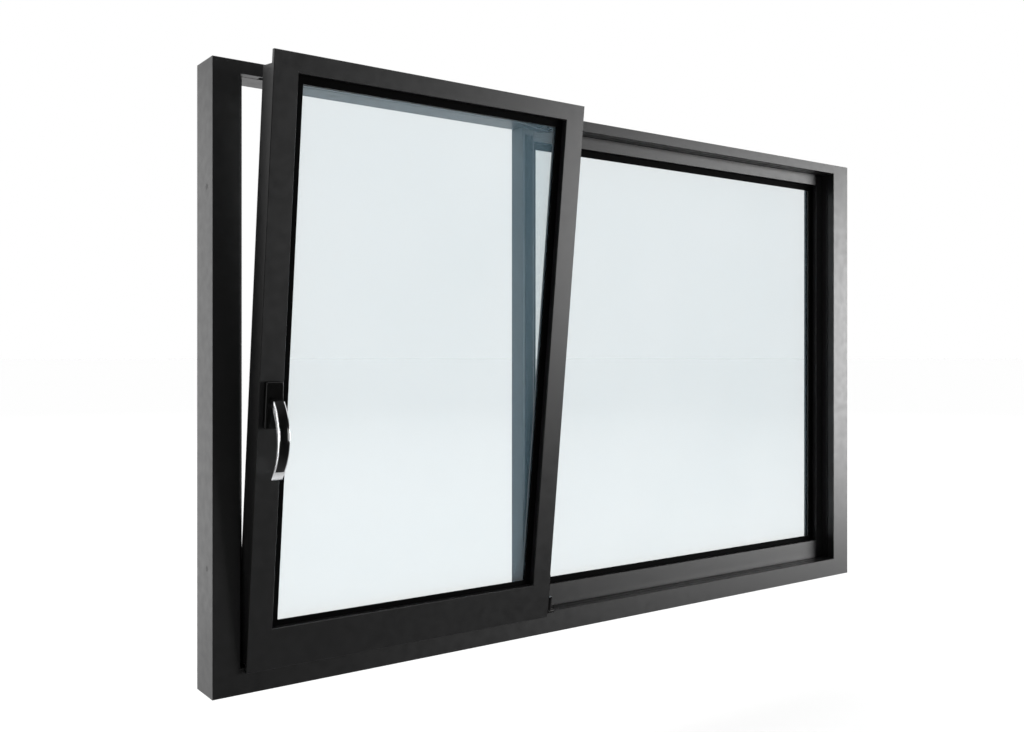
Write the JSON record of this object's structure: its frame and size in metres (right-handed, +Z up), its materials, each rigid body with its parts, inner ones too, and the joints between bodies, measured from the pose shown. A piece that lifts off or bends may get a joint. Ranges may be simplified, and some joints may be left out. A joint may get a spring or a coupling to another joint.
{
  "type": "casement window",
  "caption": "Wide black metal window frame with a bottom-hung tilting sash and lever handle on the left and a large fixed glazed light on the right.",
  "frame": {"origin": "centre of the frame's underside, midway between its room face and its outside face", "axes": "+X to the right seen from the room, +Y from the room to the outside, +Z up"},
  "size_m": [1.6, 0.1935, 1],
  "materials": {
    "frame_coat": "black satin powder coat on extruded aluminium",
    "sash_coat": "black satin powder coat on extruded aluminium",
    "cast_aluminium": "as cast",
    "zinc_steel": "zinc plated",
    "hinge_steel": "black passivated",
    "glass": "clear float glass",
    "spacer": "warm-edge spacer and butyl seal",
    "gasket": "extruded EPDM",
    "nylon": "moulded nylon",
    "handle_black": "gloss black",
    "handle_chrome": "polished"
  },
  "bodies": {
    "frame": {"frame_head": "frame_coat", "frame_sill": "frame_coat", "frame_jamb_left": "frame_coat", "frame_jamb_right": "frame_coat", "mullion": "frame_coat", "frame_corner_cleats": "cast_aluminium", "drain_caps": "nylon", "fixed_rail_top": "frame_coat", "fixed_rail_bottom": "frame_coat", "fixed_stile_right": "frame_coat", "fixed_glass_inner": "glass", "fixed_glass_outer": "glass", "fixed_spacer_bar": "spacer", "fixed_gasket_inner": "gasket", "fixed_gasket_outer": "gasket", "fixed_setting_blocks": "nylon", "fixed_bead_top": "frame_coat", "fixed_bead_bottom": "frame_coat", "fixed_bead_left": "frame_coat", "fixed_bead_right": "frame_coat", "frame_rebate_gasket": "gasket", "frame_hinge_bracket": "hinge_steel", "frame_stay_bracket": "hinge_steel", "frame_tilt_support": "hinge_steel"},
    "tilt_carrier": {"tilt_carrier": "hinge_steel"},
    "sash": {"sash_top_rail": "sash_coat", "sash_bottom_rail": "sash_coat", "sash_handle_stile": "sash_coat", "sash_hinge_stile": "sash_coat", "sash_corner_plates": "zinc_steel", "sash_glass_inner": "glass", "sash_glass_outer": "glass", "sash_spacer_bar": "spacer", "sash_gasket_inner": "gasket", "sash_gasket_outer": "gasket", "sash_setting_blocks": "nylon", "sash_bead_top": "sash_coat", "sash_bead_bottom": "sash_coat", "sash_bead_left": "sash_coat", "sash_bead_right": "sash_coat", "sash_top_seal": "gasket", "sash_hinge_leaf": "hinge_steel", "sash_tilt_bearing": "hinge_steel", "sash_stay_rail": "zinc_steel", "gearbox_case": "zinc_steel", "rosette_base": "nylon", "rosette_cover": "handle_black", "rosette_screws": "zinc_steel"},
    "handle": {"handle_lever": "handle_black", "handle_side_trim": "handle_chrome", "handle_tip": "handle_chrome", "handle_spindle": "zinc_steel", "gearbox_pinion": "zinc_steel"},
    "lower_bolt": {"lower_bolt_rod": "zinc_steel"},
    "upper_bolt": {"upper_bolt_rod": "zinc_steel"},
    "stay_slider": {"stay_slider": "hinge_steel"},
    "stay_arm": {"stay_arm": "hinge_steel"}
  },
  "joints": [
    {"name": "sash_tilt", "type": "hinge", "parent": "frame", "child": "tilt_carrier", "pos_m": [-0.142, -0.04, 0.044], "axis": [1, 0, 0], "range_deg": [-6.6, 0]},
    {"name": "sash_turn", "type": "hinge", "parent": "tilt_carrier", "child": "sash", "pos_m": [-0.142, -0.04, 0.044], "axis": [0, -0.1149, 0.9934], "range_deg": [0, 90]},
    {"name": "handle_turn", "type": "hinge", "parent": "sash", "child": "handle", "pos_m": [-0.727, -0.10294, 0.45751], "axis": [0, -0.9934, -0.1149], "range_deg": [0, 180]},
    {"name": "upper_bolt_slide", "type": "slide", "parent": "sash", "child": "upper_bolt", "axis": [0, -0.1149, 0.9934], "range_m": [0, 0.0236]},
    {"name": "lower_bolt_slide", "type": "slide", "parent": "sash", "child": "lower_bolt", "axis": [0, 0.1149, -0.9934], "range_m": [0, 0.0236]},
    {"name": "stay_slide", "type": "slide", "parent": "sash", "child": "stay_slider", "axis": [1, 0, 0], "range_m": [-0.0142, 0]},
    {"name": "stay_swing", "type": "hinge", "parent": "stay_slider", "child": "stay_arm", "pos_m": [-0.4276, -0.13182, 0.96807], "axis": [0, 0, 1], "range_deg": [-20.8, 0]}
  ],
  "couplings": [
    {"joint": "upper_bolt_slide", "follows": "handle_turn", "m_per_rad": 0.0075},
    {"joint": "lower_bolt_slide", "follows": "handle_turn", "m_per_rad": 0.0075},
    {"joint": "stay_slide", "follows": "sash_tilt", "m_per_rad": 0.12172},
    {"joint": "stay_swing", "follows": "sash_tilt", "ratio": 3.1346}
  ]
}
